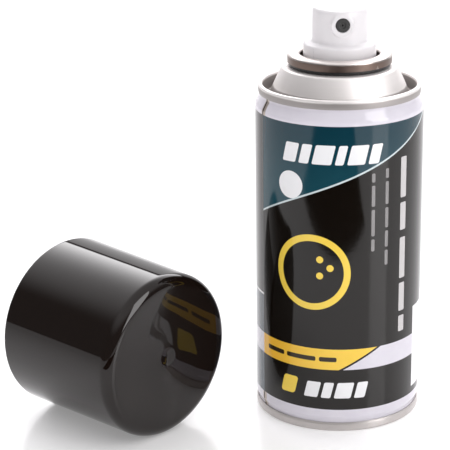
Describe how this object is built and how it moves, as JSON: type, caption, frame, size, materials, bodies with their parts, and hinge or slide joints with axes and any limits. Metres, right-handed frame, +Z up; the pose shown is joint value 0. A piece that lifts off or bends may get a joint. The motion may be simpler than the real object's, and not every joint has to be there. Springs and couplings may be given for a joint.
{
  "type": "lens cleaning spray can",
  "caption": "Small aerosol can with a press-down spray button on a crimped valve cup, and its round overcap lying on its side next to the can.",
  "frame": {"origin": "on the surface the set stands on, under the middle of the common footprint of the can and the overcap", "axes": "+Z up along the can's axis; the spray nozzle faces about -Y; the overcap lies on the -X side of the can"},
  "size_m": [0.1304, 0.0752, 0.1297],
  "materials": {
    "printed_tinplate": "glossy lacquered print in black, teal, yellow and pale lavender",
    "tinplate": "bright rolled tinplate with fine forming marks",
    "sealing_compound": "dull",
    "cup_metal": "smooth drawn metal",
    "black_rubber": "matt",
    "natural_plastic": "waxy natural moulding",
    "spring_steel": "bright wire",
    "white_plastic": "satin moulded",
    "black_insert": "fine matt moulding",
    "black_plastic": "high gloss moulded"
  },
  "bodies": {
    "can": {"can_body": "printed_tinplate", "top_cone": "tinplate", "bottom_dome": "tinplate", "top_seam_compound": "sealing_compound", "bottom_seam_compound": "sealing_compound", "valve_cup": "cup_metal", "cup_gasket": "black_rubber", "stem_gasket": "black_rubber", "valve_housing": "natural_plastic", "valve_spring": "spring_steel", "dip_tube": "natural_plastic"},
    "stem": {"valve_stem": "natural_plastic"},
    "button": {"actuator": "white_plastic", "nozzle_insert": "black_insert"},
    "cap": {"overcap": "black_plastic"}
  },
  "joints": [
    {"name": "spray_press", "type": "slide", "parent": "can", "child": "stem", "axis": [0, 0, -1], "range_m": [0, 0.0013], "stiffness_N_per_m": 2500, "springref_m": -0.002, "deforming": ["valve_spring"]},
    {"name": "nozzle_aim", "type": "hinge", "parent": "stem", "child": "button", "pos_m": [0.0391, 0.01152, 0.118], "axis": [0, 0, 1], "continuous": true},
    {"name": "cap_lift", "type": "slide", "parent": "can", "child": "cap", "axis": [0, 0, 1], "range_m": [0, 0.15]}
  ]
}
